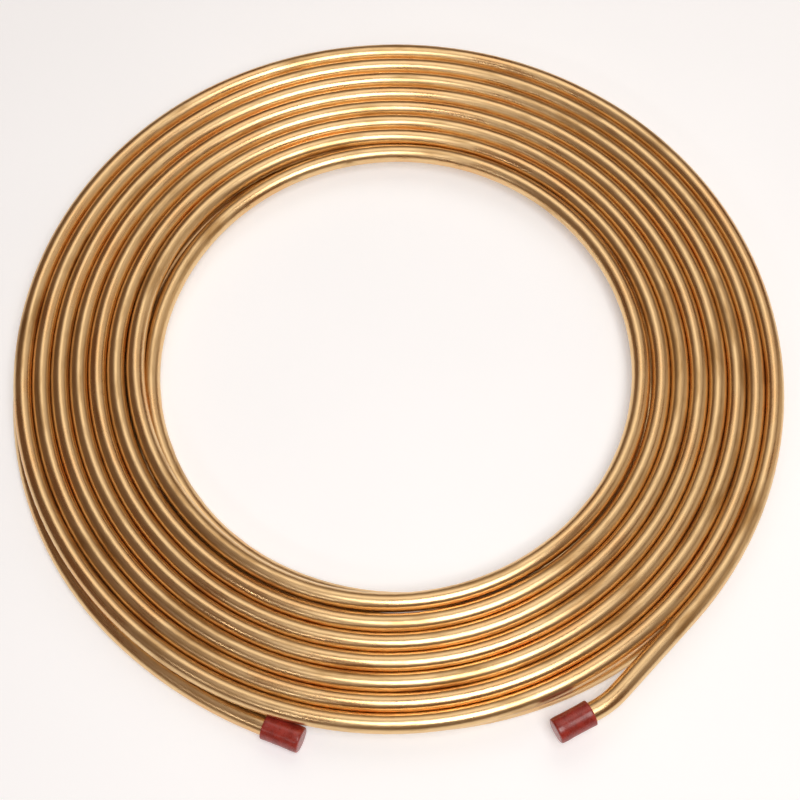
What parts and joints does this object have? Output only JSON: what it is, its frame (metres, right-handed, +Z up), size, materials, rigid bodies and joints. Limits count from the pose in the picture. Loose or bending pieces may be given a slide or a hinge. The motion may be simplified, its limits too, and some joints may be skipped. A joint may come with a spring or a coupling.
{
  "type": "copper tube coil",
  "caption": "Flat layered roll of soft copper tube with a push-on vinyl cap on each end, the coil of an immersion wort chiller.",
  "frame": {"origin": "centre of the bounding box at its base, on the ground under the coil; the coil's own axis is 2.1 mm towards -X and 1.6 mm towards -Y of it", "axes": "+Z up along the coil's axis; the two capped tube ends are side by side at -Y, the upper one at +X and the lower one at -X; seen from above the tube winds counter-clockwise and inward from the upper end"},
  "size_m": [0.3976, 0.3986, 0.0206],
  "materials": {
    "copper": "drawn copper, bright with a satin drawn grain",
    "red_vinyl": "dipped vinyl, satin"
  },
  "bodies": {
    "coil": {"copper_tube": "copper"},
    "upper_cap": {"upper_end_cap": "red_vinyl"},
    "lower_cap": {"lower_end_cap": "red_vinyl"}
  },
  "joints": [
    {"name": "upper_cap_slide", "type": "slide", "parent": "coil", "child": "upper_cap", "axis": [-0.8894, -0.4571, 0], "range_m": [0, 0.028]},
    {"name": "lower_cap_slide", "type": "slide", "parent": "coil", "child": "lower_cap", "axis": [0.9233, -0.3816, 0.0436], "range_m": [0, 0.028]}
  ]
}
